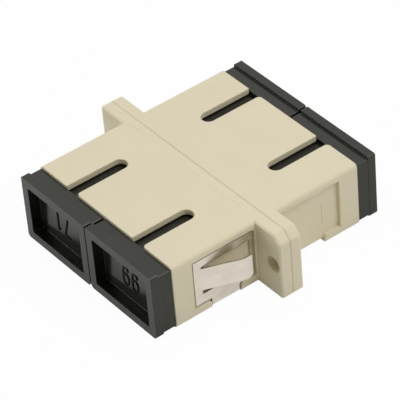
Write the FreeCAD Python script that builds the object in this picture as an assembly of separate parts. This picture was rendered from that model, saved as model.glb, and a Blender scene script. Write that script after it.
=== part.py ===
import FreeCAD, Part
import math
import os

"""Duplex fibre adapter: two welded housing halves with a flange, a spring clip that locks it in a panel,
two alignment sleeves in their holders, and a dust cap in each of the four ports.
X runs across the two ports, Y along them from the clip's half to the other, Z up.
The origin is the middle of the underside, at the weld seam."""

# housing body
body_width = 25.4
body_height = 9.1
body_length = 27.4
top_edge_round = 0.55
bottom_edge_round = 0.6
port_width = 9.1
port_wall = 0.75
port_corner_round = 0.3
port_lead_in = 0.15

# flange
flange_width = 34.0
flange_thickness = 3.2
flange_corner_round = 0.3
flange_polarity_chamfer = 1.15
flange_chamfer_round = 0.6
flange_edge_chamfer = 0.2
seam_chamfer = 0.1
screw_hole_diameter = 2.2
screw_hole_edge_distance = 1.4

# key slots in the top wall
key_slot_width = 2.0
key_slot_length = 8.0
key_slot_left_round = 0.12
key_slot_right_round = 0.5

# recess for the clip in each side, and the groove for its web below
recess_depth = 0.5
recess_mouth_margin = 2.8
recess_flange_margin = 0.25
recess_top_margin = 1.0
recess_corner_round = 0.2
mouth_lug_length = 2.4
flange_lug_length = 2.35
lug_height = 1.3
mouth_lug_round = 0.5
flange_lug_round = 0.4
web_groove_depth = 0.35
web_groove_lip_round = 0.25
web_corner_round = 0.5

# spring clip, cut and folded from one sheet
clip_thickness = 0.2
clip_edge_clearance = 0.25
clip_lug_clearance = 0.15
clip_flange_clearance = 0.25
clip_floor_gap = 0.15
clip_bend_radius = 0.2
window_front_margin = 1.05
window_rear_margin = 0.3
window_top_margin = 1.28
window_bottom_margin = 1.45
window_top_kerf = 0.33
window_bottom_kerf = 0.55
window_corner_round = 0.25
clip_notch_round = 0.1
tongue_rise = 1.95
tongue_root_bend = 0.6
tongue_tip_bend = 2.0
tongue_tip_flat = 0.8
tongue_corner_round = 0.6
panel_gap = 2.05

# sleeve holders, two in each port, back to back in a pocket at the seam
holder_plate_side_step = 0.45
holder_plate_top_step = 0.15
holder_plate_thickness = 1.5
holder_plate_bevel = 0.4
holder_clearance = 0.1
holder_tube_wall = 0.6
holder_lip_length = 0.6
holder_lip_diameter = 2.9
tube_end_chamfer = 0.25
hook_thickness = 0.8
hook_height = 3.0
hook_length = 6.5
hook_flex_gap = 0.35
hook_barb = 0.6
hook_barb_land = 0.3
hook_barb_back = 0.2
hook_lead_in = 0.8
hook_root_gusset = 0.4
hook_tip_bevel = 0.15

# split alignment sleeves
sleeve_bore = 2.5
sleeve_wall = 0.35
sleeve_length = 11.4
sleeve_slit = 0.5
sleeve_clearance = 0.1
sleeve_end_gap = 0.2

# dust caps
cap_rim_gap = 0.2
cap_rim_thickness = 1.1
cap_rim_bottom_round = 0.45
cap_rim_top_round = 0.25
cap_block_thickness = 1.75
cap_block_lip = 0.35
cap_block_side_lip = 0.05
cap_block_round = 0.15
cap_seat_gap = 0.05
cap_frame_wall = 1.15
cap_recess_depth = 1.45
cap_recess_round = 0.25
plug_side_clearance = 0.2
plug_top_clearance = 0.2
plug_length = 8.1
plug_wall = 0.9
plug_round = 0.5
plug_tip_taper = 0.3
notch_clearance = 0.3

# worked out from the sizes above
half_width = body_width / 2
half_length = body_length / 2
half_flange = flange_thickness / 2
axis_height = body_height / 2
port_pitch = body_width / 2
port_offset = port_pitch / 2
port_height = body_height - 2 * port_wall
holder_plate_width = port_width + 2 * holder_plate_side_step
holder_plate_height = port_height + 2 * holder_plate_top_step
recess_start = -half_length + recess_mouth_margin
recess_end = -half_flange - recess_flange_margin
recess_top = body_height - recess_top_margin
recess_floor = half_width - recess_depth
screw_hole_offset = flange_width / 2 - screw_hole_edge_distance
web_start = recess_start + mouth_lug_length
web_end = recess_end - flange_lug_length
clip_start = recess_start + clip_edge_clearance
clip_end = recess_end - clip_flange_clearance
clip_foot = lug_height + clip_lug_clearance
sleeve_diameter = sleeve_bore + 2 * sleeve_wall
holder_bore = sleeve_diameter + 2 * sleeve_clearance
holder_tube_diameter = holder_bore + 2 * holder_tube_wall
holder_bore_depth = sleeve_length / 2 + sleeve_end_gap
holder_tube_length = holder_bore_depth + holder_lip_length
cap_rim_width = port_pitch - cap_rim_gap
cap_recess_width = cap_rim_width - 2 * cap_frame_wall
cap_recess_height = body_height - 2 * cap_frame_wall
plug_width = port_width - 2 * plug_side_clearance
plug_height = port_height - 2 * plug_top_clearance
cut_margin = 1.0
weld_overlap = 0.2
same_place = 1e-4


def on_xz(y):
    return lambda u, v: FreeCAD.Vector(u, y, v)


def on_xy(z):
    return lambda u, v: FreeCAD.Vector(u, v, z)


def on_yz(x):
    return lambda u, v: FreeCAD.Vector(x, u, v)


def toward(a, b):
    """Unit direction from one flat point to another."""
    span = math.hypot(b[0] - a[0], b[1] - a[1])
    return ((b[0] - a[0]) / span, (b[1] - a[1]) / span)


def corner_arc(before, corner, after, radius):
    """Start, middle and end of the arc that rounds a corner."""
    back = toward(corner, before)
    on = toward(corner, after)
    half_angle = math.acos(max(-1.0, min(1.0, back[0] * on[0] + back[1] * on[1]))) / 2
    reach = radius / math.tan(half_angle)
    middle_way = toward((0, 0), (back[0] + on[0], back[1] + on[1]))
    middle_reach = radius / math.sin(half_angle) - radius
    start = (corner[0] + back[0] * reach, corner[1] + back[1] * reach)
    middle = (corner[0] + middle_way[0] * middle_reach, corner[1] + middle_way[1] * middle_reach)
    end = (corner[0] + on[0] * reach, corner[1] + on[1] * reach)
    return start, middle, end


def outline(corners, place):
    """Closed wire through flat corners (u, v, rounding), put in space by place."""
    edges = []
    count = len(corners)
    stops = []
    for index, (u, v, radius) in enumerate(corners):
        before = corners[index - 1]
        after = corners[(index + 1) % count]
        if radius > 0:
            stops.append(corner_arc(before, (u, v), after, radius))
        else:
            stops.append(((u, v), None, (u, v)))
    for index, (start, middle, end) in enumerate(stops):
        following = stops[(index + 1) % count][0]
        if middle:
            edges.append(Part.Arc(place(*start), place(*middle), place(*end)).toShape())
        if math.dist(end, following) > same_place:
            edges.append(Part.LineSegment(place(*end), place(*following)).toShape())
    return Part.Wire(edges)


def rectangle(u_low, u_high, v_low, v_high, radius=0.0):
    return [(u_low, v_low, radius), (u_high, v_low, radius), (u_high, v_high, radius), (u_low, v_high, radius)]


def bevelled_rectangle(u_low, u_high, v_low, v_high, bevel):
    return [(u_low, v_low + bevel, 0), (u_low + bevel, v_low, 0), (u_high - bevel, v_low, 0),
            (u_high, v_low + bevel, 0), (u_high, v_high - bevel, 0), (u_high - bevel, v_high, 0),
            (u_low + bevel, v_high, 0), (u_low, v_high - bevel, 0)]


def notch(low, high, mouth, floor, low_lip, high_lip, floor_round):
    """Flat outline of a notch that is open at mouth, with rounded lips and rounded corners at its floor."""
    outside = mouth - math.copysign(cut_margin, floor - mouth)
    return [(low - low_lip, outside, 0), (low - low_lip, mouth, 0), (low, mouth, low_lip),
            (low, floor, floor_round), (high, floor, floor_round),
            (high, mouth, high_lip), (high + high_lip, mouth, 0), (high + high_lip, outside, 0)]


def prism(wire, direction):
    return Part.Face(wire).extrude(direction)


def slab(corners, y_low, y_high):
    """A flat outline in X and Z, run from one Y to another."""
    return prism(outline(corners, on_xz(y_low)), FreeCAD.Vector(0, y_high - y_low, 0))


def tapered_slab(corners_low, corners_high, y_low, y_high):
    return Part.makeLoft([outline(corners_low, on_xz(y_low)), outline(corners_high, on_xz(y_high))], True, True)


def cylinder_along_y(x, z, diameter, y_low, y_high):
    return Part.makeCylinder(diameter / 2, y_high - y_low, FreeCAD.Vector(x, y_low, z), FreeCAD.Vector(0, 1, 0))


def edges_at(shape, axis, value):
    """Straight and round edges that lie wholly in the plane where one coordinate has this value."""
    found = []
    for edge in shape.Edges:
        box = edge.BoundBox
        low, high = {"x": (box.XMin, box.XMax), "y": (box.YMin, box.YMax), "z": (box.ZMin, box.ZMax)}[axis]
        if abs(low - value) < same_place and abs(high - value) < same_place:
            found.append(edge)
    return found


def bent_strip(start, heading, thickness, moves, place):
    """Face of a folded strip: its middle line runs straight by a length or turns by an angle at a radius."""
    left, right = [], []
    point = start
    half = thickness / 2

    def offset(at, angle, side):
        return (at[0] - math.sin(angle) * side, at[1] + math.cos(angle) * side)

    ends = [(offset(point, heading, half), offset(point, heading, -half))]
    for length, turn, radius in moves:
        if turn == 0:
            target = (point[0] + math.cos(heading) * length, point[1] + math.sin(heading) * length)
            after = heading
        else:
            bend = math.copysign(1, turn)
            centre = offset(point, heading, bend * radius)
            after = heading + turn
            target = offset(centre, after, -bend * radius)
            mid = heading + turn / 2
            on_middle = offset(centre, mid, -bend * radius)
        for side, edges in ((half, left), (-half, right)):
            a = offset(point, heading, side)
            b = offset(target, after, side)
            if turn == 0:
                edges.append(Part.LineSegment(place(*a), place(*b)).toShape())
            else:
                edges.append(Part.Arc(place(*a), place(*offset(on_middle, mid, side)), place(*b)).toShape())
        point, heading = target, after
    ends.append((offset(point, heading, half), offset(point, heading, -half)))
    caps = [Part.LineSegment(place(*a), place(*b)).toShape() for a, b in ends]
    return Part.Face(Part.Wire(Part.__sortEdges__(left + right + caps)))


def body_block():
    """Outer block of one half, from the mouth into the flange."""
    corners = [(-half_width, 0, bottom_edge_round), (half_width, 0, bottom_edge_round),
               (half_width, body_height, top_edge_round), (-half_width, body_height, top_edge_round)]
    return slab(corners, -half_length, -half_flange / 2)


def half_flange_block():
    """Half of the flange: square ears, the right one chamfered on top so the part goes in one way up."""
    reach = flange_width / 2
    cut = flange_polarity_chamfer
    edge, slope = flange_corner_round, flange_chamfer_round
    corners = [(-reach, 0, edge), (reach, 0, edge), (reach, body_height - cut, slope),
               (reach - cut, body_height, slope), (-reach, body_height, edge)]
    block = slab(corners, -half_flange, 0)
    block = block.makeChamfer(seam_chamfer, edges_at(block, "y", 0))
    return block.makeChamfer(flange_edge_chamfer, edges_at(block, "y", -half_flange))


def port_tool(x):
    """The port from its mouth to the seam: lead-in, straight bore and the wider pocket for the holders."""
    low, high = axis_height - port_height / 2, axis_height + port_height / 2
    left, right = x - port_width / 2, x + port_width / 2
    bore = slab(rectangle(left, right, low, high, port_corner_round), -half_length - cut_margin, cut_margin)
    flare = port_lead_in
    wide = rectangle(left - flare, right + flare, low - flare, high + flare, port_corner_round)
    narrow = rectangle(left, right, low, high, port_corner_round)
    mouth = tapered_slab(wide, narrow, -half_length, -half_length + flare)
    pocket_x = holder_plate_width / 2 + holder_clearance
    pocket_z = holder_plate_height / 2 + holder_clearance
    pocket = slab(bevelled_rectangle(x - pocket_x, x + pocket_x, axis_height - pocket_z, axis_height + pocket_z,
                                     holder_plate_bevel), -holder_plate_thickness, cut_margin)
    return [bore, mouth, pocket]


def key_slot_tool(x):
    """Slot in the top wall for the connector's key, round at its inner end."""
    half = key_slot_width / 2
    corners = notch(x - half, x + half, -half_length, -half_length + key_slot_length,
                    key_slot_left_round, key_slot_right_round, half)
    return prism(outline(corners, on_xy(axis_height)), FreeCAD.Vector(0, 0, body_height))


def side_recess_tool(side):
    """Bed of the clip's arm: a shallow window with a lug below each end, open between the lugs."""
    corners = [(recess_start, recess_top, recess_corner_round), (recess_start, lug_height, 0),
               (web_start, lug_height, mouth_lug_round), (web_start, -cut_margin, 0),
               (web_end, -cut_margin, 0), (web_end, lug_height, flange_lug_round),
               (recess_end, lug_height, 0), (recess_end, recess_top, recess_corner_round)]
    wire = outline(corners, on_yz(side * recess_floor))
    return prism(wire, FreeCAD.Vector(side * (recess_depth + cut_margin), 0, 0))


def web_groove_tool():
    """Groove across the underside for the clip's web, with rounded lips."""
    corners = notch(web_start, web_end, 0, web_groove_depth, web_groove_lip_round, web_groove_lip_round, 0)
    return prism(outline(corners, on_yz(-half_width - cut_margin)),
                 FreeCAD.Vector(body_width + 2 * cut_margin, 0, 0))


def web_corner_tool(side):
    """What rounds the corner between the groove and the recess floor, where the clip folds round it."""
    r = web_corner_round
    block = Part.makeBox(r + recess_depth, web_end - web_start, r + web_groove_depth,
                         FreeCAD.Vector(recess_floor - r, web_start, 0))
    keep = cylinder_along_y(recess_floor - r, web_groove_depth + r, 2 * r, web_start, web_end)
    tool = block.cut(keep)
    if side < 0:
        tool = tool.mirror(FreeCAD.Vector(), FreeCAD.Vector(1, 0, 0))
    return tool


def make_housing_half():
    """The half on the clip's side, from its mouth to the weld seam."""
    tools = [web_groove_tool()]
    for side in (-1, 1):
        tools += port_tool(side * port_offset)
        tools.append(key_slot_tool(side * port_offset))
        tools.append(side_recess_tool(side))
        tools.append(web_corner_tool(side))
        tools.append(cylinder_along_y(side * screw_hole_offset, axis_height, screw_hole_diameter,
                                      -half_flange - cut_margin, cut_margin))
    return body_block().fuse(half_flange_block()).cut(tools).removeSplitter()


def clip_middle():
    """Distance of an arm's middle plane from the centre, and height of the web's middle plane."""
    arm = recess_floor + clip_floor_gap + clip_thickness / 2
    web = web_groove_depth - clip_thickness / 2
    return arm, web


def clip_tongue():
    """Tongue lanced out of the right arm: it ramps outward and ends flat, facing the flange."""
    arm, _ = clip_middle()
    root = clip_start + window_front_margin
    tip = -half_flange - panel_gap
    bends = tongue_root_bend + tongue_tip_bend
    run = tip - root - tongue_tip_flat
    lean = math.hypot(bends - tongue_rise, run)
    ramp = math.atan2(run, bends - tongue_rise) - math.acos(bends / lean)
    straight = (run - bends * math.sin(ramp)) / math.cos(ramp)
    moves = [(clip_thickness, 0, 0), (0, -ramp, tongue_root_bend), (straight, 0, 0),
             (0, ramp, tongue_tip_bend), (tongue_tip_flat, 0, 0)]
    low = lug_height + window_bottom_margin + window_bottom_kerf
    high = recess_top - window_top_margin - window_top_kerf
    face = bent_strip((arm, root - clip_thickness), math.pi / 2, clip_thickness, moves, on_xy(low))
    tongue = face.extrude(FreeCAD.Vector(0, 0, high - low))
    end = [edge for edge in edges_at(tongue, "y", tip) if edge.BoundBox.ZMax < (low + high) / 2]
    return tongue.makeFillet(tongue_corner_round, end)


def clip_window():
    """Opening left in the right arm round the tongue, and the two slits beside it."""
    low, high = clip_start + window_front_margin, clip_end - window_rear_margin
    bottom, top = lug_height + window_bottom_margin, recess_top - window_top_margin
    whole = outline(rectangle(low, high, bottom, top, window_corner_round), on_yz(recess_floor))
    return prism(whole, FreeCAD.Vector(recess_depth + cut_margin, 0, 0))


def clip_lug_tool(outer, inner, corner_round):
    """Cuts the clip away where a lug of the housing stands, and rounds the corner left between arm and web."""
    corners = [(outer, -cut_margin, 0), (inner, -cut_margin, 0), (inner, clip_foot, corner_round),
               (outer, clip_foot, 0)]
    return prism(outline(corners, on_yz(-half_width)), FreeCAD.Vector(body_width, 0, 0))


def make_panel_clip():
    """Spring clip: a web under the housing, folded up into an arm on each side, each with its tongue."""
    arm, web = clip_middle()
    bend = clip_bend_radius + clip_thickness / 2
    top = recess_top - clip_edge_clearance
    rise = top - web - bend
    span = 2 * (arm - bend)
    moves = [(rise, 0, 0), (0, math.pi / 2, bend), (span, 0, 0), (0, math.pi / 2, bend), (rise, 0, 0)]
    face = bent_strip((-arm, top), -math.pi / 2, clip_thickness, moves, on_xz(clip_start))
    clip = face.extrude(FreeCAD.Vector(0, clip_end - clip_start, 0))
    tools = [clip_lug_tool(clip_start - cut_margin, web_start + clip_lug_clearance, clip_notch_round),
             clip_lug_tool(clip_end + cut_margin, web_end - clip_lug_clearance, flange_lug_round)]
    window, tongue = clip_window(), clip_tongue()
    flip = FreeCAD.Vector(1, 0, 0)
    clip = clip.cut(tools + [window, window.mirror(FreeCAD.Vector(), flip)])
    return clip.fuse([tongue, tongue.mirror(FreeCAD.Vector(), flip)]).removeSplitter()


def hook_corners():
    """Flat outline of the right-hand hook: a springy arm with a barb and a lead-in at its tip."""
    outer = port_width / 2 - hook_flex_gap
    inner = outer - hook_thickness
    root, tip = -holder_plate_thickness, -holder_plate_thickness - hook_length
    inside_plate = root + weld_overlap
    barb_front = tip + hook_lead_in
    barb_back = barb_front + hook_barb_land
    foot = inner - hook_root_gusset
    return [(outer, inside_plate, 0), (outer, tip + hook_tip_bevel, 0), (outer - hook_tip_bevel, tip, 0),
            (inner, tip, 0), (inner - hook_barb, barb_front, 0), (inner - hook_barb, barb_back, 0),
            (inner, barb_back + hook_barb_back, 0), (inner, root - hook_root_gusset, 0),
            (foot, root, 0), (foot, inside_plate, 0)]


def make_holder():
    """Sleeve holder on the port's axis, facing the clip's end: a plate, half of the sleeve's tube, two hooks."""
    half_x, half_z = holder_plate_width / 2, holder_plate_height / 2
    plate = slab(bevelled_rectangle(-half_x, half_x, axis_height - half_z, axis_height + half_z,
                                    holder_plate_bevel), -holder_plate_thickness, 0)
    tube = cylinder_along_y(0, axis_height, holder_tube_diameter, -holder_tube_length, -holder_plate_thickness)
    tube = tube.makeChamfer(tube_end_chamfer, edges_at(tube, "y", -holder_tube_length))
    foot = on_xy(axis_height - hook_height / 2)
    hook = prism(outline(hook_corners(), foot), FreeCAD.Vector(0, 0, hook_height))
    body = plate.fuse([tube, hook, hook.mirror(FreeCAD.Vector(), FreeCAD.Vector(1, 0, 0))])
    bore = cylinder_along_y(0, axis_height, holder_bore, -holder_bore_depth, cut_margin)
    mouth = cylinder_along_y(0, axis_height, holder_lip_diameter, -holder_tube_length - cut_margin, 0)
    return body.cut([bore, mouth]).removeSplitter()


def make_sleeve():
    """Split sleeve on the port's axis, with its slit along the top."""
    tube = cylinder_along_y(0, axis_height, sleeve_diameter, -sleeve_length / 2, sleeve_length / 2)
    bore = cylinder_along_y(0, axis_height, sleeve_bore, -sleeve_length, sleeve_length)
    slit = Part.makeBox(sleeve_slit, 2 * sleeve_length, sleeve_diameter,
                        FreeCAD.Vector(-sleeve_slit / 2, -sleeve_length, axis_height))
    return tube.cut([bore, slit])


def cap_front():
    """Rim and block of a dust cap, with the square recess in its face."""
    face = -half_length - cap_seat_gap - cap_block_thickness - cap_rim_thickness
    half_x = cap_rim_width / 2
    low_round, high_round = cap_rim_bottom_round, cap_rim_top_round
    rim = slab([(-half_x, 0, low_round), (half_x, 0, low_round), (half_x, body_height, high_round),
                (-half_x, body_height, high_round)], face, face + cap_rim_thickness)
    block_x = half_x - cap_block_side_lip
    block = slab(rectangle(-block_x, block_x, cap_block_lip, body_height - cap_block_lip, cap_block_round),
                 face + cap_rim_thickness, -half_length - cap_seat_gap)
    grip_x, grip_z = cap_recess_width / 2, cap_recess_height / 2
    grip = slab(rectangle(-grip_x, grip_x, axis_height - grip_z, axis_height + grip_z, cap_recess_round),
                face - cut_margin, face + cap_recess_depth)
    return rim.fuse(block).cut(grip)


def cap_plug():
    """Hollow plug of a dust cap: open at its tip, tapered there, and notched beside the hooks."""
    base, tip = -half_length - cap_seat_gap, -half_length + plug_length
    x, z = plug_width / 2, plug_height / 2
    taper = plug_tip_taper
    outer = rectangle(-x, x, axis_height - z, axis_height + z, plug_round)
    small = rectangle(-x + taper, x - taper, axis_height - z + taper, axis_height + z - taper, plug_round)
    plug = slab(outer, base, tip - taper).fuse(tapered_slab(outer, small, tip - taper, tip))
    inner_x, inner_z = x - plug_wall, z - plug_wall
    hollow = slab(rectangle(-inner_x, inner_x, axis_height - inner_z, axis_height + inner_z),
                  -half_length, tip + cut_margin)
    hook_tip = -holder_plate_thickness - hook_length
    reach = hook_height / 2 + notch_clearance
    opening = Part.makeBox(plug_width + 2 * cut_margin, tip - hook_tip + notch_clearance + cut_margin, 2 * reach,
                           FreeCAD.Vector(-x - cut_margin, hook_tip - notch_clearance, axis_height - reach))
    return plug.cut([hollow, opening])


def make_dust_cap():
    return cap_front().fuse(cap_plug()).removeSplitter()


def placed(shape, x, turned):
    """A copy on a port's axis, turned half round for the far end."""
    copy = shape.copy()
    if turned:
        copy.rotate(FreeCAD.Vector(), FreeCAD.Vector(0, 0, 1), 180)
    copy.translate(FreeCAD.Vector(x, 0, 0))
    return copy


def build():
    half = make_housing_half()
    parts = {"housing_front": half,
             "housing_rear": half.mirror(FreeCAD.Vector(), FreeCAD.Vector(0, 1, 0)),
             "panel_clip": make_panel_clip()}
    holder, cap, sleeve = make_holder(), make_dust_cap(), make_sleeve()
    for side, x in (("left", -port_offset), ("right", port_offset)):
        parts["split_sleeve_" + side] = placed(sleeve, x, False)
        for end, turned in (("front", False), ("rear", True)):
            parts["sleeve_holder_" + end + "_" + side] = placed(holder, x, turned)
            parts["dust_cap_" + end + "_" + side] = placed(cap, x, turned)
    return parts


os.makedirs("parts", exist_ok=True)
for name, shape in build().items():
    box = shape.BoundBox
    print(name, shape.isValid(), len(shape.Solids), "volume", round(shape.Volume, 2),
          [round(value, 2) for value in (box.XMin, box.XMax, box.YMin, box.YMax, box.ZMin, box.ZMax)])
    shape.exportStep("parts/" + name + ".step")
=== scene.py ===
import math

import bmesh
import bpy
import numpy as np
from bpy.props import FloatProperty, FloatVectorProperty, PointerProperty
from mathutils import Matrix, Vector


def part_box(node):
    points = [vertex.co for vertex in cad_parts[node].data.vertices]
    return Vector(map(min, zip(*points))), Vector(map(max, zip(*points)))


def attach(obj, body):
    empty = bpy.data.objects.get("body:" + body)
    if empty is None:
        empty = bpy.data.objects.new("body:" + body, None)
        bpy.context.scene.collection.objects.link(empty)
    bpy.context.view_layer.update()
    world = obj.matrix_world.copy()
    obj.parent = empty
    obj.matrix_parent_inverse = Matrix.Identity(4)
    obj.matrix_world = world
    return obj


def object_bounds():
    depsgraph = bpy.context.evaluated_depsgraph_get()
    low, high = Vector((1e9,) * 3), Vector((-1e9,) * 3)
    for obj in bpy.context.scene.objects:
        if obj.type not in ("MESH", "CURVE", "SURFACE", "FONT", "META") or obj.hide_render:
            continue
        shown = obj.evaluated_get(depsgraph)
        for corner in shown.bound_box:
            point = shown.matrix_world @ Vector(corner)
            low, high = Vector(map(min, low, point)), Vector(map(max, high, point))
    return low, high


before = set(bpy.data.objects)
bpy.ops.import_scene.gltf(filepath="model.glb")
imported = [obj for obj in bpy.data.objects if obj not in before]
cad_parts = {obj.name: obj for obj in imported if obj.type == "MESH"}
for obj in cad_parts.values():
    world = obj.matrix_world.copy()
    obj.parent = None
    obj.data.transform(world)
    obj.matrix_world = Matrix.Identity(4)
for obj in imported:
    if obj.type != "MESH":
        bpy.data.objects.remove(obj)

bl_info = {
    "name": "Duplex fibre adapter",
    "version": (1, 0, 0),
    "blender": (4, 5, 0),
    "location": "3D View > Sidebar > Adapter",
    "description": "Finishes, mould marks and photo stage of a duplex fibre adapter",
    "category": "Object",
}

CAD_BOX = [list(corner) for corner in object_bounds()]
MM = 0.001
PICTURE_PIXELS = 400
PLASTIC_IOR = 1.49
# A face this share of the recess's depth behind a cap's front is the recess's floor.
FLOOR_SHARE = 0.8
# The dish of that floor is measured this far from its middle.
DISH_REACH = 3.5 * MM
# Share of a digit's box that the middle lines of its strokes fill.
BOX_FILL = 0.94
# How far a raised stroke's foot reaches into the face that carries it.
NUMBER_FOOT = 0.02 * MM
MARK_FOOT = 0.01 * MM
HALVES = ("housing_front", "housing_rear")
HOLDERS = tuple(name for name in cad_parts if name.startswith("sleeve_holder"))
SLEEVES = tuple(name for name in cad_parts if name.startswith("split_sleeve"))
CAPS = tuple(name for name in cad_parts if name.startswith("dust_cap"))


def colour_property(name, description, default):
    return FloatVectorProperty(name=name, description=description, subtype="COLOR", size=3, min=0.0, max=1.0,
                               default=default)


def length_property(name, description, millimetres):
    return FloatProperty(name=name, description=description, unit="LENGTH", precision=6, min=0.0,
                         default=millimetres * MM)


def share_property(name, description, default):
    return FloatProperty(name=name, description=description, subtype="FACTOR", min=0.0, max=1.0,
                         default=default)


def angle_property(name, description, degrees):
    return FloatProperty(name=name, description=description, subtype="ANGLE", default=math.radians(degrees))


def number_property(name, description, default, unit="NONE"):
    return FloatProperty(name=name, description=description, unit=unit, default=default)


class HousingFinish(bpy.types.PropertyGroup):
    colour: colour_property("Colour", "Beige of the moulded body", (0.782, 0.706, 0.512))
    # Painted highlight: this paler beige is laid along every softened edge for light that catches the
    # rounding and glows through thin walls; it also lightens the scuffs.
    edge_colour: colour_property("Edge colour", "Paler beige where an edge is thin", (0.83, 0.755, 0.525))
    roughness: share_property("Roughness", "How dull the moulded face is", 0.52)
    grain: length_property("Grain", "Size of the spark-eroded grain of the mould", 0.09)
    grain_depth: length_property("Grain depth", "Height of that grain", 0.003)
    edge_radius: length_property("Edge radius", "How far the moulded edges look softened", 0.18)
    depth: length_property("Light depth", "How deep light soaks into the thin walls", 0.55)


class CapFinish(bpy.types.PropertyGroup):
    colour: colour_property("Colour", "Charcoal of the caps", (0.0110, 0.0108, 0.0080))
    # Painted highlight, also standing for rubbing: this grey is laid along every softened edge; it also
    # lightens the scuffs.
    edge_colour: colour_property("Edge colour", "Grey where the edges are rubbed", (0.034, 0.034, 0.030))
    roughness: share_property("Roughness", "How dull the moulded face is", 0.24)
    gloss: share_property("Gloss", "How strongly the caps mirror, half being usual", 0.45)
    dish: length_property("Dish", "How far a recess floor has sunk, 3.5 mm from its middle", 0.2)
    polish: share_property("Polish", "How much smoother the mould left the recess floors", 0.11)
    grain: length_property("Grain", "Size of the mould's grain", 0.12)
    grain_depth: length_property("Grain depth", "Height of that grain", 0.005)
    edge_radius: length_property("Edge radius", "How far the moulded edges look softened", 0.1)


class SpringFinish(bpy.types.PropertyGroup):
    colour: colour_property("Colour", "Warm white of the stainless sheet", (0.755, 0.70, 0.605))
    # Also laid on the blanked faces above the bend, where this dark colour is painted shade as well as burr.
    edge_colour: colour_property("Edge colour", "Darker sheared edge", (0.16, 0.14, 0.10))
    roughness: share_property("Roughness", "How far the sheet blurs what it mirrors", 0.14)
    line_width: length_property("Line width", "Pitch of the rolling lines", 0.05)
    strip_dullness: share_property("Strip dullness", "How much more the strip above the window blurs", 0.16)
    strip_from: length_property("Strip from", "Height at which that strip starts", 6.6)
    edge_radius: length_property("Edge radius", "Width of the sheared edge", 0.05)


class HolderFinish(bpy.types.PropertyGroup):
    colour: colour_property("Colour", "Natural white of the sleeve holders", (0.80, 0.79, 0.74))
    # Painted highlight: this paler white is laid along every softened edge for light that catches the
    # rounding and glows through thin walls; it also lightens the scuffs.
    edge_colour: colour_property("Edge colour", "Paler white where an edge is thin", (0.88, 0.87, 0.83))
    roughness: share_property("Roughness", "How dull the moulded face is", 0.38)
    grain: length_property("Grain", "Size of the mould's grain", 0.2)
    grain_depth: length_property("Grain depth", "Height of that grain", 0.002)
    edge_radius: length_property("Edge radius", "How far the moulded edges look softened", 0.06)


class SleeveFinish(bpy.types.PropertyGroup):
    colour: colour_property("Colour", "Phosphor bronze of the split sleeves", (0.78, 0.50, 0.28))
    edge_colour: colour_property("Edge colour", "Darker bronze of the cut ends", (0.60, 0.36, 0.18))
    roughness: share_property("Roughness", "How far the drawn tube blurs what it mirrors", 0.22)
    line_width: length_property("Line width", "Pitch of the drawing lines", 0.04)
    edge_radius: length_property("Edge radius", "How far the cut ends look softened", 0.04)


class MouldNumbers(bpy.types.PropertyGroup):
    height: length_property("Height", "Height of a digit", 3.0)
    width: length_property("Width", "Width of a digit", 1.2)
    pitch: length_property("Pitch", "Distance from one digit to the next", 1.75)
    stroke: length_property("Stroke", "Width of a stroke", 0.30)
    relief: length_property("Relief", "How far a stroke stands up from the cap's floor", 0.10)
    above: length_property("Above", "Shift of the number from the cap's middle, to its digits' tops", 0.16)
    depth: length_property("Depth", "Depth of the cap's recess floor below its face", 1.45)
    # Painted shade: the digits are darker and mirror less than the cap they are moulded on, standing in for
    # the shade on their sides.
    colour: colour_property("Colour", "Smoother charcoal of the digits", (0.006, 0.006, 0.005))
    gloss: share_property("Gloss", "How strongly the digits mirror, half being usual", 0.05)


class WeldLine(bpy.types.PropertyGroup):
    radius: length_property("Bead radius", "Mean radius of the bead in the seam", 0.09)
    unevenness: share_property("Unevenness", "How much the bead swells and shrinks", 0.22)
    sinking: number_property("Sinking", "Depth of the bead's middle below the face, in its radii", 1.08)
    trace_width: length_property("Trace width", "Width of the faint traces before the seam", 0.05)
    trace_relief: length_property("Trace relief", "How far those traces stand up", 0.008)
    mark_width: length_property("Mark width", "Width of the core mark on the rear recess floors", 0.09)
    mark_height: length_property("Mark height", "Length of the core mark, up the recess", 2.9)
    mark_relief: length_property("Mark relief", "How far the core mark stands out", 0.03)
    colour: colour_property("Colour", "Beige of the melted bead", (0.68, 0.60, 0.40))


class PhotoStage(bpy.types.PropertyGroup):
    azimuth: angle_property("Azimuth", "Camera angle from the front towards the right", 55.145)
    elevation: angle_property("Elevation", "Camera angle above the floor", 39.112)
    roll: angle_property("Roll", "Turn of the camera about its view", -5.133)
    distance: number_property("Distance", "Camera distance from the adapter's middle", 0.33367, "LENGTH")
    focal_pixels: number_property("Focal pixels", "Focal length in pixels of the 400 pixel frame", 2820.9)
    shift_right: number_property("Shift right", "Picture centre offset, in pixels", 0.215)
    shift_down: number_property("Shift down", "Picture centre offset, in pixels", -5.255)
    left_power: number_property("Left power", "Power of the low left softbox", 0.34, "POWER")
    right_power: number_property("Right power", "Power of the right softbox", 0.53, "POWER")
    top_power: number_property("Top power", "Power of the overhead softbox", 0.58, "POWER")
    sky: number_property("Sky", "Strength of the white surroundings away from the camera", 0.34)
    sky_behind: number_property("Sky behind camera", "Strength on the camera's side", 0.0)
    floor_white: share_property("Floor white", "How much light the floor throws back", 0.80)
    floor_glow: share_property("Floor glow", "Share of the floor's white that shadows can't darken", 0.965)
    mirror_glow: share_property("Mirror glow", "The same share where gloss and metal mirror the floor", 0.4)


FINISHES = {
    "adapter_housing": HousingFinish,
    "adapter_caps": CapFinish,
    "adapter_spring": SpringFinish,
    "adapter_holders": HolderFinish,
    "adapter_sleeves": SleeveFinish,
    "adapter_numbers": MouldNumbers,
    "adapter_weld": WeldLine,
    "adapter_stage": PhotoStage,
}


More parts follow.
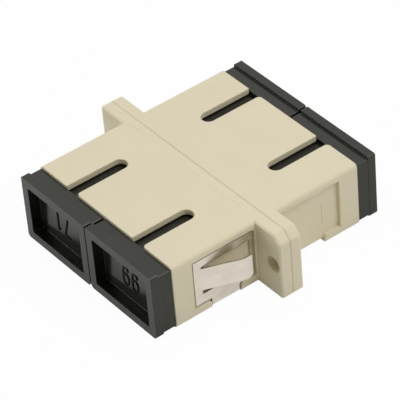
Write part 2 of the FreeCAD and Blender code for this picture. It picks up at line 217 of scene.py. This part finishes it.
class Nodes:
    """Adds shader nodes to one tree and joins them up."""

    def __init__(self, tree):
        self.tree = tree

    def add(self, kind, inputs=None, **settings):
        node = self.tree.nodes.new("ShaderNode" + kind)
        for key, value in settings.items():
            setattr(node, key, value)
        for key, value in (inputs or {}).items():
            socket = node.inputs[key]
            if isinstance(value, bpy.types.NodeSocket):
                self.tree.links.new(value, socket)
            else:
                socket.default_value = value
        return node

    def math(self, operation, a, b=0.0, c=0.0, clamp=False):
        node = self.add("Math", {0: a, 1: b, 2: c}, operation=operation, use_clamp=clamp)
        return node.outputs[0]

    def mix(self, factor, a, b):
        node = self.add("Mix", data_type="RGBA")
        for name, value in (("Factor", factor), ("A", a), ("B", b)):
            socket = next(s for s in node.inputs if s.name == name and s.enabled)
            if isinstance(value, bpy.types.NodeSocket):
                self.tree.links.new(value, socket)
            else:
                socket.default_value = value
        return next(s for s in node.outputs if s.enabled)

    def spread(self, value, low, high, to_low=0.0, to_high=1.0):
        node = self.add("MapRange", {"Value": value, "From Min": low, "From Max": high, "To Min": to_low,
                                     "To Max": to_high}, interpolation_type="SMOOTHSTEP")
        return node.outputs["Result"]

    def noise(self, vector, scale, detail=3.0, roughness=0.5):
        node = self.add("TexNoise", {"Vector": vector, "Scale": scale, "Detail": detail,
                                     "Roughness": roughness})
        return node.outputs["Fac"]

    def millimetres(self):
        """Place on the piece in millimetres."""
        place = self.add("TexCoord").outputs["Object"]
        return self.add("VectorMath", {0: place, "Scale": 1000.0}, operation="SCALE").outputs[0]

    def stretched(self, vector, scale):
        return self.add("VectorMath", {0: vector, 1: scale}, operation="MULTIPLY").outputs[0]


def shader_group(name, inputs, outputs):
    """A new node group with named float inputs and outputs, and its two ends."""
    tree = bpy.data.node_groups.new(name, "ShaderNodeTree")
    for label, default in inputs:
        socket = tree.interface.new_socket(name=label, in_out="INPUT", socket_type="NodeSocketFloat")
        socket.default_value = default
    for label, kind in outputs:
        tree.interface.new_socket(name=label, in_out="OUTPUT", socket_type=kind)
    return tree, tree.nodes.new("NodeGroupInput"), tree.nodes.new("NodeGroupOutput")


def softened_edges_group():
    """Edge mask: one minus the dot product of the face's normal and the normal averaged over a small
    radius."""
    name = "Softened edges"
    if name in bpy.data.node_groups:
        return bpy.data.node_groups[name]
    tree, given, result = shader_group(name, [("Radius", 0.0001)],
                                       [("Normal", "NodeSocketVector"), ("Edge", "NodeSocketFloat")])
    nodes = Nodes(tree)
    bevel = nodes.add("Bevel", {"Radius": given.outputs["Radius"]}, samples=6).outputs[0]
    face = nodes.add("NewGeometry").outputs["Normal"]
    alike = nodes.add("VectorMath", {0: bevel, 1: face}, operation="DOT_PRODUCT").outputs["Value"]
    edge = nodes.spread(nodes.math("SUBTRACT", 1.0, alike), 0.01, 0.25)
    tree.links.new(bevel, result.inputs["Normal"])
    tree.links.new(edge, result.inputs["Edge"])
    return tree


def moulded_skin_group():
    """Spark-eroded grain, slow flow of the melt, and rare fine scuffs, all from noise over the piece in
    millimetres."""
    name = "Moulded skin"
    if name in bpy.data.node_groups:
        return bpy.data.node_groups[name]
    tree, given, result = shader_group(name, [("Grain", 0.1)],
                                       [("Height", "NodeSocketFloat"), ("Flow", "NodeSocketFloat"),
                                        ("Scuff", "NodeSocketFloat")])
    nodes = Nodes(tree)
    place = nodes.millimetres()
    fineness = nodes.math("DIVIDE", 1.0, given.outputs["Grain"])
    grain_share, peel_share = 0.8, 1.2
    grain = nodes.noise(place, fineness, 4.0, 0.62)
    orange_peel = nodes.noise(place, 1.1, 2.0, 0.5)
    height = nodes.math("ADD", nodes.math("MULTIPLY", grain, grain_share),
                        nodes.math("MULTIPLY", orange_peel, peel_share))
    flow = nodes.noise(nodes.stretched(place, (0.16, 0.3, 0.3)), 1.0, 3.0, 0.55)
    streak = nodes.noise(nodes.stretched(place, (2.6, 0.5, 2.2)), 1.7, 2.0, 0.7)
    patch = nodes.noise(place, 0.45, 1.0, 0.5)
    scuff = nodes.math("MULTIPLY", nodes.spread(streak, 0.64, 0.74), nodes.spread(patch, 0.5, 0.68))
    for label, value in (("Height", height), ("Flow", flow), ("Scuff", scuff)):
        tree.links.new(value, result.inputs[label])
    return tree


def drawn_metal_group():
    """Fine lines along Y, as rolling or drawing leaves them: noise stretched forty times along that way."""
    name = "Drawn metal"
    if name in bpy.data.node_groups:
        return bpy.data.node_groups[name]
    tree, given, result = shader_group(name, [("Line Width", 0.05)],
                                       [("Height", "NodeSocketFloat"), ("Tarnish", "NodeSocketFloat")])
    nodes = Nodes(tree)
    place = nodes.millimetres()
    fineness = nodes.math("DIVIDE", 1.0, given.outputs["Line Width"])
    lines = nodes.noise(nodes.stretched(place, (1.0, 0.025, 1.0)), fineness, 3.0, 0.6)
    tarnish = nodes.noise(nodes.stretched(place, (0.5, 0.35, 0.7)), 1.0, 4.0, 0.6)
    for label, value in (("Height", lines), ("Tarnish", tarnish)):
        tree.links.new(value, result.inputs[label])
    return tree


def new_material(name):
    material = bpy.data.materials.new(name)
    material.use_nodes = True
    material.node_tree.nodes.clear()
    return material, Nodes(material.node_tree)


def use_group(nodes, group, inputs):
    node = nodes.add("Group", node_tree=group)
    for key, value in inputs.items():
        node.inputs[key].default_value = value
    return node.outputs


def finish_material(nodes, inputs):
    shader = nodes.add("BsdfPrincipled", inputs)
    surface = nodes.add("OutputMaterial")
    nodes.tree.links.new(shader.outputs["BSDF"], surface.inputs["Surface"])
    return shader


def rgba(colour, gain=1.0):
    return tuple(min(1.0, part * gain) for part in colour) + (1.0,)


def polished_floors(nodes, fronts, depth):
    """One on faces that look along Y and lie deeper than a depth behind the caps' fronts, else zero. The
    fronts are as far from the middle on both sides, so the depth is what the size of Y lacks."""
    place = nodes.add("TexCoord").outputs
    along = nodes.math("ABSOLUTE", nodes.add("SeparateXYZ", {0: place["Normal"]}).outputs["Y"])
    away = nodes.math("ABSOLUTE", nodes.add("SeparateXYZ", {0: place["Object"]}).outputs["Y"])
    deeper = nodes.math("GREATER_THAN", nodes.math("SUBTRACT", fronts, away), depth)
    return nodes.math("MULTIPLY", nodes.spread(along, 0.8, 0.95), deeper)


def dished_normal(nodes, floors, finish, middle, normal):
    """Normal of a moulded floor that has sunk a little: its face falls towards its middle as the square of
    the distance from there. The floors lie as far to the left as to the right, so the size of X is used."""
    place = nodes.add("TexCoord").outputs["Object"]
    beside = nodes.add("VectorMath", {0: place}, operation="ABSOLUTE").outputs[0]
    from_middle = nodes.add("VectorMath", {0: beside, 1: middle}, operation="SUBTRACT").outputs[0]
    flat = nodes.stretched(from_middle, (1.0, 0.0, 1.0))
    square = nodes.add("VectorMath", {0: flat, 1: flat}, operation="DOT_PRODUCT").outputs["Value"]
    fall = nodes.math("MULTIPLY", nodes.math("MULTIPLY", square, finish.dish / DISH_REACH ** 2), floors)
    return nodes.add("Bump", {"Strength": 1.0, "Distance": 1.0, "Height": fall, "Normal": normal}).outputs[0]


def moulded_plastic(name, finish, mottle, scuffing, steady=None, polished=None):
    """Moulded plastic: grain and flow marks, a painted highlight of the edge colour along every softened
    edge, and scuffs that lighten and dull it a little.
    What is the same all over, such as how light soaks in, is given in steady. Polished, dished floors are
    given as how far the fronts are from the middle, how deep the floors lie, and the middle of one floor."""
    edge_share, scuff_gain, flow_dulling, scuff_dulling = 0.75, 1.25, 0.10, 0.08
    material, nodes = new_material(name)
    skin = use_group(nodes, moulded_skin_group(), {"Grain": finish.grain / MM})
    edges = use_group(nodes, softened_edges_group(), {"Radius": finish.edge_radius})
    tone = nodes.mix(nodes.spread(skin["Flow"], 0.3, 0.7), rgba(finish.colour, 1.0 - mottle),
                     rgba(finish.colour, 1.0 + mottle))
    worn = nodes.mix(nodes.math("MULTIPLY", skin["Scuff"], scuffing), tone,
                     rgba(finish.edge_colour, scuff_gain))
    # Painted highlight: the edge colour is laid along every softened edge.
    colour = nodes.mix(nodes.math("MULTIPLY", edges["Edge"], edge_share), worn, rgba(finish.edge_colour))
    uneven = nodes.math("MULTIPLY_ADD", skin["Flow"], flow_dulling, finish.roughness - flow_dulling / 2)
    roughness = nodes.math("MULTIPLY_ADD", skin["Scuff"], scuff_dulling, uneven, clamp=True)
    normal = edges["Normal"]
    if polished is not None:
        fronts, depth, middle = polished
        floors = polished_floors(nodes, fronts, depth)
        smoother = nodes.math("MULTIPLY", floors, finish.polish)
        roughness = nodes.math("SUBTRACT", roughness, smoother, clamp=True)
        normal = dished_normal(nodes, floors, finish, middle, normal)
    normal = nodes.add("Bump", {"Strength": 1.0, "Distance": finish.grain_depth, "Height": skin["Height"],
                                "Normal": normal}).outputs[0]
    finish_material(nodes, {"Base Color": colour, "Roughness": roughness, "Normal": normal,
                            "IOR": PLASTIC_IOR, **(steady or {})})
    return material


def drawn_metal(name, finish, dark_share, cut_above=None):
    """Bare sheet or tube: fine lines, slight tarnish that dulls and darkens it, and darker cut edges. Above
    the height cut_above, a face that looks up or down is a blanked edge of the sheet: its share of rough,
    dark metal is a smooth step of the size of its normal's third part. That dark colour is partly burr and
    partly painted shade, which keeps those faces from mirroring the bright surroundings."""
    edge_share, cut_gain, clean_gain = 0.6, 1.3, 1.03
    tarnish_dulling, cut_dulling, edge_dulling = 0.10, 0.35, 0.15
    strip_fade, line_height = 0.5 * MM, 0.002 * MM
    material, nodes = new_material(name)
    metal = use_group(nodes, drawn_metal_group(), {"Line Width": finish.line_width / MM})
    edges = use_group(nodes, softened_edges_group(), {"Radius": finish.edge_radius})
    tone = nodes.mix(nodes.spread(metal["Tarnish"], 0.35, 0.75), rgba(finish.colour, clean_gain),
                     rgba(finish.colour, 1.0 - dark_share))
    colour = nodes.mix(nodes.math("MULTIPLY", edges["Edge"], edge_share), tone, rgba(finish.edge_colour))
    dull = nodes.math("MULTIPLY_ADD", metal["Tarnish"], tarnish_dulling,
                      finish.roughness - tarnish_dulling / 2)
    if cut_above is not None:
        place = nodes.add("TexCoord").outputs
        upright = nodes.math("ABSOLUTE", nodes.add("SeparateXYZ", {0: place["Normal"]}).outputs["Z"])
        height = nodes.add("SeparateXYZ", {0: place["Object"]}).outputs["Z"]
        # Painted shade, with some burr: the blanked faces get dark metal so that they mirror less of the
        # bright surroundings.
        blanked = nodes.math("MULTIPLY", nodes.spread(upright, 0.6, 0.9),
                             nodes.math("GREATER_THAN", height, cut_above))
        colour = nodes.mix(blanked, colour, rgba(finish.edge_colour, cut_gain))
        strip = nodes.spread(height, finish.strip_from, finish.strip_from + strip_fade)
        dull = nodes.math("MULTIPLY_ADD", strip, finish.strip_dullness, dull)
        dull = nodes.math("MULTIPLY_ADD", blanked, cut_dulling, dull)
    roughness = nodes.math("MULTIPLY_ADD", edges["Edge"], edge_dulling, dull, clamp=True)
    normal = nodes.add("Bump", {"Strength": 0.5, "Distance": line_height, "Height": metal["Height"],
                                "Normal": edges["Normal"]}).outputs[0]
    finish_material(nodes, {"Base Color": colour, "Roughness": roughness, "Normal": normal, "Metallic": 1.0})
    return material


def dress(names, material):
    """Puts one material on CAD nodes."""
    for name in names:
        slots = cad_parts[name].data.materials
        slots.clear()
        slots.append(material)


def new_piece(name, vertices, faces, material, body):
    """A mesh piece in its place, with its doubles merged and its faces turned outwards."""
    mesh = bpy.data.meshes.new(name)
    mesh.from_pydata(vertices.tolist(), [], faces.tolist())
    work = bmesh.new()
    work.from_mesh(mesh)
    bmesh.ops.remove_doubles(work, verts=work.verts, dist=1e-7)
    bmesh.ops.dissolve_degenerate(work, dist=1e-7, edges=work.edges)
    bmesh.ops.recalc_face_normals(work, faces=work.faces)
    work.to_mesh(mesh)
    work.free()
    mesh.polygons.foreach_set("use_smooth", np.full(len(mesh.polygons), True))
    mesh.materials.append(material)
    piece = bpy.data.objects.new(name, mesh)
    bpy.context.scene.collection.objects.link(piece)
    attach(piece, body)
    return piece


def grid_faces(rows, columns, wrap_rows=False):
    """Four-sided faces of a grid of points whose columns close on themselves, and whose rows may."""
    row = np.arange(rows if wrap_rows else rows - 1)[:, None]
    column = np.arange(columns)[None, :]
    across = (column + 1) % columns
    after = (row + 1) % rows
    corners = np.stack([row * columns + column, row * columns + across, after * columns + across,
                        after * columns + column], axis=-1)
    return corners.reshape(-1, 4)


def stroke_surface(line, width, relief, sink):
    """A moulded stroke along a flat line: at each point a low arch, width times cosine across and relief
    times the cube root of sine up, drawn in at both ends as a half circle, and closed below by a flat foot
    that sinks into the face."""
    step = np.linalg.norm(np.diff(line, axis=0), axis=1)
    run = np.concatenate([[0.0], np.cumsum(step)])
    along = np.gradient(line, axis=0)
    along /= np.linalg.norm(along, axis=1, keepdims=True)
    side = np.stack([-along[:, 1], along[:, 0]], axis=1)
    to_end = np.minimum(run, run[-1] - run) / (width / 2)
    draw_in = np.sqrt(np.clip(1 - (1 - np.clip(to_end, 0, 1)) ** 2, 0, 1))
    arch_points = 11
    angle = np.linspace(0, np.pi, arch_points)
    across = np.append(np.cos(angle), [-1.0, 0.0, 1.0]) * width / 2
    up = np.append(np.cbrt(np.sin(angle)) * relief, [-sink, -sink, -sink])
    flat = line[:, None, :] + side[:, None, :] * (across[None, :] * draw_in[:, None])[..., None]
    height = np.where(up[None, :] > 0, up[None, :] * np.sqrt(draw_in)[:, None], up[None, :])
    points = np.concatenate([flat, height[..., None]], axis=2)
    return points.reshape(-1, 3), grid_faces(len(line), len(up))


def straight(start, end, count=24):
    share = np.linspace(0, 1, count)[:, None]
    return (1 - share) * np.array(start) + share * np.array(end)


def oval(centre, radii, first, last, count=56):
    """Points of an oval from one angle to another, in degrees."""
    angle = np.radians(np.linspace(first, last, count))
    return np.stack([centre[0] + radii[0] * np.cos(angle), centre[1] + radii[1] * np.sin(angle)], axis=1)


def digit_lines(digit):
    """Middle lines of a digit's strokes, in a box one wide and two high with its middle at zero."""
    six = [oval((0.0, -0.42), (0.47, 0.56), 90, 450), oval((0.02, -0.32), (0.49, 1.3), 185, 34)]
    lines = {
        "0": [oval((0.0, 0.0), (0.47, 0.98), 90, 450)],
        "1": [straight((0.1, -1.0), (0.1, 1.0)), straight((0.1, 1.0), (-0.26, 0.62), 12)],
        "6": six,
        "7": [straight((-0.5, 0.98), (0.5, 0.98)), straight((0.5, 0.98), (-0.2, -1.0))],
        "8": [oval((0.0, -0.46), (0.48, 0.52), 90, 450), oval((0.0, 0.53), (0.4, 0.46), 270, 630)],
        "9": [-line for line in six],
    }
    return lines[digit]


def number_surface(text, sizes):
    """All the strokes of a number, each a low arch along its line, with the number's middle at zero and its
    relief along the third axis."""
    points, faces, count = [], [], 0
    first = -(len(text) - 1) / 2 * sizes.pitch
    for place, digit in enumerate(text):
        for line in digit_lines(digit):
            scaled = line * np.array([sizes.width, sizes.height / 2]) * BOX_FILL
            scaled[:, 0] += first + place * sizes.pitch
            found, sides = stroke_surface(scaled, sizes.stroke, sizes.relief, NUMBER_FOOT)
            points.append(found)
            faces.append(sides + count)
            count += len(found)
    return np.concatenate(points), np.concatenate(faces)


def flange_outline(count):
    """Points round the flange's edge in X and Z: a box with its corners rounded by a parabola, and the right
    top one cut off."""
    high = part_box("housing_front")[1]
    reach, top, cut = high.x, high.z, 1.15 * MM
    tight, wide = 0.3 * MM, 0.6 * MM
    corners = [((-reach, 0.0), tight), ((reach, 0.0), tight), ((reach, top - cut), wide),
               ((reach - cut, top), wide), ((-reach, top), tight)]
    points = []
    for index, (corner, radius) in enumerate(corners):
        here = np.array(corner)
        back = np.array(corners[index - 1][0]) - here
        on = np.array(corners[(index + 1) % len(corners)][0]) - here
        back, on = back / np.linalg.norm(back), on / np.linalg.norm(on)
        half = math.acos(float(back @ on)) / 2
        reach_in = radius / math.tan(half)
        share = np.linspace(0, 1, 9)[:, None]
        start, end = here + back * reach_in, here + on * reach_in
        points.append((1 - share) ** 2 * start + 2 * share * (1 - share) * here + share ** 2 * end)
    ring = np.concatenate(points)
    ring = np.vstack([ring, ring[:1]])
    run = np.concatenate([[0.0], np.cumsum(np.linalg.norm(np.diff(ring, axis=0), axis=1))])
    even = np.linspace(0, run[-1], count, endpoint=False)
    return np.stack([np.interp(even, run, ring[:, 0]), np.interp(even, run, ring[:, 1])], axis=1), even


def bead_surface(radius, unevenness, sinking):
    """Weld bead: a circle carried round the flange's edge, its radius swelling by a sum of three sines."""
    rings, ring_points = 720, 10
    ring, run = flange_outline(rings)
    along = np.roll(ring, -1, axis=0) - np.roll(ring, 1, axis=0)
    along /= np.linalg.norm(along, axis=1, keepdims=True)
    outward = np.stack([along[:, 1], -along[:, 0]], axis=1)
    turns = run / run[-1] * 2 * np.pi
    swell = (np.sin(37 * turns) + np.sin(61 * turns + 1.3) + np.sin(103 * turns + 0.4)) / 3
    size = radius * (1 + unevenness * swell)
    middle = ring - outward * (radius * sinking)
    angle = np.linspace(0, 2 * np.pi, ring_points, endpoint=False)
    flat = middle[:, None, :] + outward[:, None, :] * (size[:, None] * np.cos(angle)[None, :])[..., None]
    depth = size[:, None] * np.sin(angle)[None, :]
    points = np.stack([flat[..., 0], depth, flat[..., 1]], axis=-1)
    return points.reshape(-1, 3), grid_faces(len(ring), len(angle), wrap_rows=True)


class FinishOperator:
    """Shared by the operators: they change the scene and can be undone."""
    bl_options = {"REGISTER", "UNDO"}


class ADAPTER_OT_housing(FinishOperator, bpy.types.Operator):
    """Give both welded housing halves their beige moulded skin"""
    bl_idname = "adapter.housing"
    bl_label = "Housing halves"

    def execute(self, context):
        finish = context.scene.adapter_housing
        soaking = {"Subsurface Weight": 0.25, "Subsurface Radius": (0.9, 0.85, 0.5),
                   "Subsurface Scale": finish.depth}
        dress(HALVES, moulded_plastic("beige_moulding", finish, mottle=0.012, scuffing=0.12, steady=soaking))
        return {"FINISHED"}


class ADAPTER_OT_caps(FinishOperator, bpy.types.Operator):
    """Give the four dust caps their charcoal moulded skin"""
    bl_idname = "adapter.caps"
    bl_label = "Dust caps"

    def execute(self, context):
        finish = context.scene.adapter_caps
        warm_gloss = {"Specular Tint": (1.0, 0.99, 0.90, 1.0), "Specular IOR Level": finish.gloss}
        low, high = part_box("dust_cap_rear_right")
        middle = ((low.x + high.x) / 2, 0.0, (low.z + high.z) / 2)
        recesses = (high.y, FLOOR_SHARE * context.scene.adapter_numbers.depth, middle)
        dress(CAPS, moulded_plastic("charcoal_moulding", finish, mottle=0.10, scuffing=0.5, steady=warm_gloss,
                                    polished=recesses))
        return {"FINISHED"}


class ADAPTER_OT_spring(FinishOperator, bpy.types.Operator):
    """Give the folded panel clip its bright rolled sheet"""
    bl_idname = "adapter.spring"
    bl_label = "Panel clip"

    def execute(self, context):
        finish = context.scene.adapter_spring
        # Twice the sheet's thickness, so that it clears the web under the body.
        clear_of_web = 0.4 * MM
        arms_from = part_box("panel_clip")[0].z + clear_of_web
        dress(["panel_clip"], drawn_metal("rolled_spring_sheet", finish, dark_share=0.08,
                                          cut_above=arms_from))
        return {"FINISHED"}


class ADAPTER_OT_holders(FinishOperator, bpy.types.Operator):
    """Give the sleeve holders their natural white moulding"""
    bl_idname = "adapter.holders"
    bl_label = "Sleeve holders"

    def execute(self, context):
        finish = context.scene.adapter_holders
        dress(HOLDERS, moulded_plastic("natural_moulding", finish, mottle=0.02, scuffing=0.1))
        return {"FINISHED"}


class ADAPTER_OT_sleeves(FinishOperator, bpy.types.Operator):
    """Give the split sleeves their drawn bronze"""
    bl_idname = "adapter.sleeves"
    bl_label = "Split sleeves"

    def execute(self, context):
        finish = context.scene.adapter_sleeves
        dress(SLEEVES, drawn_metal("drawn_bronze", finish, dark_share=0.18))
        return {"FINISHED"}


class ADAPTER_OT_numbers(FinishOperator, bpy.types.Operator):
    """Raise a plain mould number on the inner floor of each dust cap"""
    bl_idname = "adapter.numbers"
    bl_label = "Mould numbers"

    def execute(self, context):
        sizes = context.scene.adapter_numbers
        caps = context.scene.adapter_caps
        # Painted shade: darker colour and weaker gloss than the cap's, standing in for the shade on the
        # strokes' sides.
        material, nodes = new_material("smooth_charcoal_painted_shade")
        skin = use_group(nodes, moulded_skin_group(), {"Grain": caps.grain / MM})
        colour = nodes.mix(skin["Flow"], rgba(sizes.colour), rgba(sizes.colour, 1.5))
        roughness = nodes.math("MULTIPLY_ADD", skin["Flow"], 0.1, caps.roughness - 0.1)
        finish_material(nodes, {"Base Color": colour, "Roughness": roughness,
                                "Specular IOR Level": sizes.gloss})
        # Each cap's number, whether the cap is the other way up, and how far the number lies aside, in mm.
        numbers = {"front_left": ("71", True, 0.5), "front_right": ("99", True, 0.0),
                   "rear_left": ("68", False, 0.2), "rear_right": ("10", True, 0.1)}
        for where, (text, turned, across) in numbers.items():
            low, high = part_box("dust_cap_" + where)
            flat, faces = number_surface(text, sizes)
            flat[:, 0] += across * MM
            flat[:, 1] += sizes.above
            if turned:
                flat[:, :2] *= -1
            front = where.startswith("front")
            facing = 1.0 if front else -1.0
            floor = low.y + sizes.depth if front else high.y - sizes.depth
            points = np.stack([(low.x + high.x) / 2 + facing * flat[:, 0], floor - facing * flat[:, 2],
                               (low.z + high.z) / 2 + flat[:, 1]], axis=1)
            new_piece("mould_number_" + where, points, faces, material, "dust_cap_" + where)
        return {"FINISHED"}


class ADAPTER_OT_weld(FinishOperator, bpy.types.Operator):
    """Lay the weld bead in the seam, its faint traces, and the core marks on the rear recess floors"""
    bl_idname = "adapter.weld"
    bl_label = "Weld and core marks"

    def execute(self, context):
        sizes = context.scene.adapter_weld
        housing = context.scene.adapter_housing
        material, nodes = new_material("melted_beige")
        skin = use_group(nodes, moulded_skin_group(), {"Grain": 0.3})
        colour = nodes.mix(skin["Flow"], rgba(sizes.colour, 0.94), rgba(sizes.colour, 1.06))
        roughness = nodes.math("MULTIPLY_ADD", skin["Flow"], 0.12, housing.roughness - 0.15)
        finish_material(nodes, {"Base Color": colour, "Roughness": roughness, "IOR": PLASTIC_IOR})
        points, faces = bead_surface(sizes.radius, sizes.unevenness, sizes.sinking)
        new_piece("weld_bead", points, faces, material, "adapter")
        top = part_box("housing_front")[1].z
        # Where each trace starts and ends along X, and where it starts along Y, in mm.
        traces = ((-12.4, -8.4, -1.1), (-1.3, 2.0, -1.17), (3.3, 6.8, -1.37), (7.3, 9.5, -1.17))
        drift = 0.06
        for number, (first, last, along) in enumerate(traces, 1):
            line = straight((first * MM, along * MM), (last * MM, (along + drift) * MM), 30)
            points, faces = stroke_surface(line, sizes.trace_width, sizes.trace_relief, MARK_FOOT)
            points[:, 2] += top
            new_piece(f"weld_trace_{number}", points, faces, material, "adapter")
        mark_along, mark_low, recess_floor = 8.48 * MM, 2.8 * MM, 12.2 * MM
        line = straight((mark_along, mark_low), (mark_along, mark_low + sizes.mark_height), 30)
        for side, name in ((-1.0, "core_mark_left"), (1.0, "core_mark_right")):
            flat, faces = stroke_surface(line, sizes.mark_width, sizes.mark_relief, MARK_FOOT)
            points = np.stack([side * (recess_floor + flat[:, 2]), flat[:, 0], flat[:, 1]], axis=1)
            new_piece(name, points, faces, material, "adapter")
        return {"FINISHED"}


def camera_axes(azimuth, elevation, roll):
    """Back, right and up of a camera that stands at an azimuth from the front and looks down, then rolled."""
    back = Vector((math.sin(azimuth) * math.cos(elevation), -math.cos(azimuth) * math.cos(elevation),
                   math.sin(elevation)))
    right = Vector((math.cos(azimuth), math.sin(azimuth), 0.0))
    up = back.cross(right)
    return (back, math.cos(roll) * right + math.sin(roll) * up, math.cos(roll) * up - math.sin(roll) * right)


def softbox(name, direction, distance, size, power, target):
    """A rectangular area lamp that faces the adapter from a direction."""
    lamp = bpy.data.lights.new(name, "AREA")
    lamp.shape = "RECTANGLE"
    lamp.size, lamp.size_y = size
    lamp.energy = power
    piece = bpy.data.objects.new(name, lamp)
    piece.location = target + direction.normalized() * distance
    piece.rotation_euler = direction.to_track_quat("Z", "Y").to_euler()
    bpy.context.scene.collection.objects.link(piece)


def seen_directly(nodes, direct, mirrored):
    """One share for rays from the camera or through glass, another for rays from gloss and metal, and zero
    for the rest."""
    path = nodes.add("LightPath").outputs
    straight_on = nodes.math("MAXIMUM", path["Is Camera Ray"], path["Is Transmission Ray"])
    bounced = nodes.math("MULTIPLY", path["Is Glossy Ray"], mirrored)
    return nodes.math("MAXIMUM", nodes.math("MULTIPLY", straight_on, direct), bounced)


class ADAPTER_OT_stage(FinishOperator, bpy.types.Operator):
    """Set the white floor and surroundings, the softboxes and the camera at the photo's angle"""
    bl_idname = "adapter.stage"
    bl_label = "Photo stage"

    def execute(self, context):
        stage = context.scene.adapter_stage
        low, high = (Vector(corner) for corner in CAD_BOX)
        middle = Vector((0.0, 0.0, high.z / 2))
        underside_gap = 0.02 * MM
        self.floor(stage, low.z - underside_gap)
        self.surroundings(context, stage)
        back, right, up = camera_axes(stage.azimuth, stage.elevation, stage.roll)
        softbox("left_softbox", Vector((-0.57, -0.82, 0.24)), 0.34, (0.26, 0.13), stage.left_power, middle)
        softbox("right_softbox", Vector((0.90, 0.30, 1.05)), 0.34, (0.26, 0.26), stage.right_power, middle)
        softbox("top_softbox", Vector((-0.1, 0.15, 1.0)), 0.36, (0.34, 0.34), stage.top_power, middle)
        camera = bpy.data.cameras.new("photo_camera")
        camera.sensor_width = 36.0
        camera.lens = stage.focal_pixels / PICTURE_PIXELS * camera.sensor_width
        camera.shift_x = -stage.shift_right / PICTURE_PIXELS
        camera.shift_y = stage.shift_down / PICTURE_PIXELS
        camera.clip_start, camera.clip_end = 0.01, 10.0
        view = bpy.data.objects.new("photo_camera", camera)
        place = Matrix.Translation(middle + back * stage.distance)
        view.matrix_world = place @ Matrix((right, up, back)).transposed().to_4x4()
        context.scene.collection.objects.link(view)
        context.scene.camera = view
        context.scene.view_settings.view_transform = "Standard"
        return {"FINISHED"}

    def floor(self, stage, height):
        """White paper: a share of its white is given off, and the rest is lit and takes the shadow."""
        mesh = bpy.data.meshes.new("floor")
        reach = 3.0
        mesh.from_pydata([(-reach, -reach, height), (reach, -reach, height), (reach, reach, height),
                          (-reach, reach, height)], [], [(0, 1, 2, 3)])
        floor = bpy.data.objects.new("floor", mesh)
        bpy.context.scene.collection.objects.link(floor)
        material, nodes = new_material("white_paper")
        place = nodes.add("TexCoord").outputs["Object"]
        fibres_per_metre = 900.0
        fibre = nodes.spread(nodes.noise(place, fibres_per_metre, 4.0), 0.3, 0.7, 0.985, 1.0)
        white = nodes.mix(fibre, rgba((stage.floor_white,) * 3), rgba((0.9, 0.9, 0.9)))
        paper = nodes.add("BsdfDiffuse", {"Color": white})
        glow = nodes.add("Emission", {"Color": (1, 1, 1, 1), "Strength": 1.0})
        share = seen_directly(nodes, stage.floor_glow, stage.mirror_glow)
        surface = nodes.add("MixShader", {0: share, 1: paper.outputs[0], 2: glow.outputs[0]})
        output = nodes.add("OutputMaterial")
        nodes.tree.links.new(surface.outputs[0], output.inputs["Surface"])
        mesh.materials.append(material)

    def surroundings(self, context, stage):
        """White all round, at full white where it is seen. As a source of light it is dimmer, most of all on
        the camera's side, by a smooth step of the cosine between the direction and the camera's."""
        world = bpy.data.worlds.new("studio")
        world.use_nodes = True
        world.node_tree.nodes.clear()
        nodes = Nodes(world.node_tree)
        back = camera_axes(stage.azimuth, 0.0, 0.0)[0]
        toward = nodes.add("VectorMath", {0: nodes.add("TexCoord").outputs["Generated"], 1: tuple(back)},
                           operation="DOT_PRODUCT").outputs["Value"]
        lit = nodes.spread(toward, -0.5, 0.5, stage.sky, stage.sky_behind)
        seen = seen_directly(nodes, 1.0, 1.0)
        strength = nodes.math("MULTIPLY_ADD", nodes.math("SUBTRACT", 1.0, seen), lit, seen)
        light = nodes.add("Background", {"Color": (1, 1, 1, 1), "Strength": strength})
        output = nodes.add("OutputWorld")
        world.node_tree.links.new(light.outputs[0], output.inputs["Surface"])
        context.scene.world = world


OPERATORS = (ADAPTER_OT_housing, ADAPTER_OT_caps, ADAPTER_OT_spring, ADAPTER_OT_holders, ADAPTER_OT_sleeves,
             ADAPTER_OT_numbers, ADAPTER_OT_weld, ADAPTER_OT_stage)


class ADAPTER_PT_panel(bpy.types.Panel):
    """Lists the adapter's finishes, marks and stage"""
    bl_idname = "ADAPTER_PT_panel"
    bl_label = "Duplex fibre adapter"
    bl_space_type = "VIEW_3D"
    bl_region_type = "UI"
    bl_category = "Adapter"

    def draw(self, context):
        for operator in OPERATORS:
            self.layout.operator(operator.bl_idname)
        for name in FINISHES:
            box = self.layout.box()
            settings = getattr(context.scene, name)
            for key in settings.bl_rna.properties.keys():
                if key not in ("rna_type", "name"):
                    box.prop(settings, key)


def register():
    for kind in FINISHES.values():
        bpy.utils.register_class(kind)
    for name, kind in FINISHES.items():
        setattr(bpy.types.Scene, name, PointerProperty(type=kind))
    for kind in OPERATORS + (ADAPTER_PT_panel,):
        bpy.utils.register_class(kind)


def unregister():
    for kind in reversed(OPERATORS + (ADAPTER_PT_panel,)):
        bpy.utils.unregister_class(kind)
    for name in reversed(FINISHES):
        delattr(bpy.types.Scene, name)
    for kind in reversed(tuple(FINISHES.values())):
        bpy.utils.unregister_class(kind)


def main():
    register()
    for operator in OPERATORS:
        family, action = operator.bl_idname.split(".")
        getattr(getattr(bpy.ops, family), action)()


if __name__ == "__main__":
    main()
